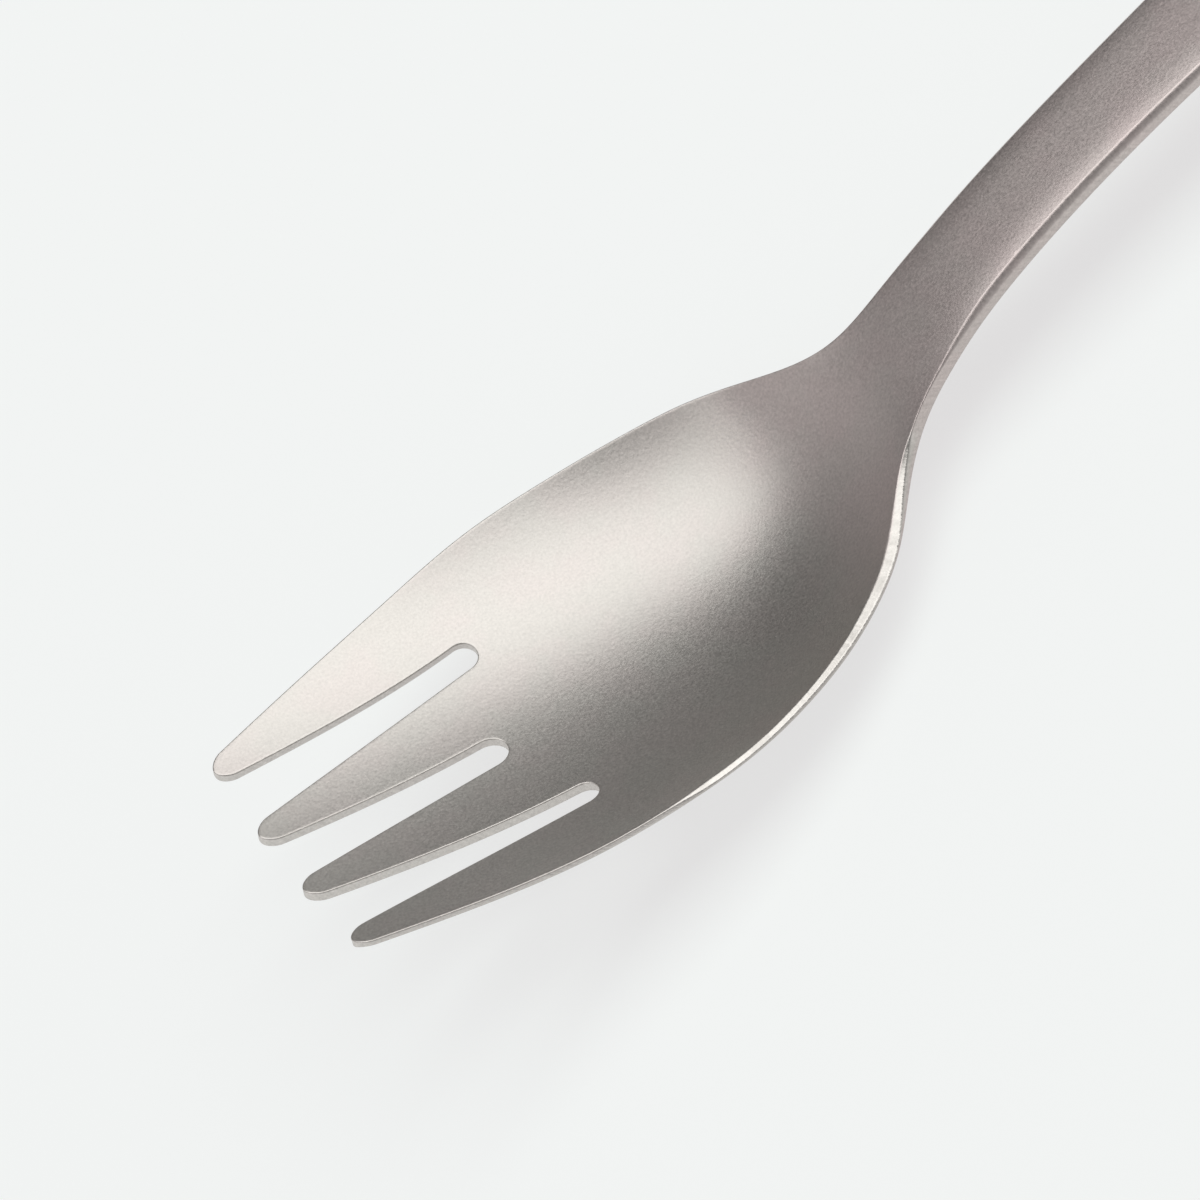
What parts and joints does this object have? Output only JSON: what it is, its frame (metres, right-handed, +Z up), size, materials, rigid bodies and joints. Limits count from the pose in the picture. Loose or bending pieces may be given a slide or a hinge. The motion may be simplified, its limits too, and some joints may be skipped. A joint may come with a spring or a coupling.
{
  "type": "spork",
  "caption": "One-piece sheet-metal spork: an oval bowl that ends in short rounded tines, a narrow neck and a gently arched handle.",
  "frame": {"origin": "middle of the bounding box seen from above, on the table", "axes": "+X from the tines to the end of the handle, +Y across to the left when the tines point away, +Z up; the spork lies at rest on the bottom of its bowl and the end of its handle"},
  "size_m": [0.1654, 0.0386, 0.0197],
  "materials": {
    "titanium": "satin"
  },
  "bodies": {
    "root": {"tine_left_outer": "titanium", "tine_left_inner": "titanium", "tine_right_inner": "titanium", "tine_right_outer": "titanium", "bowl": "titanium", "neck": "titanium", "handle": "titanium"}
  },
  "joints": []
}
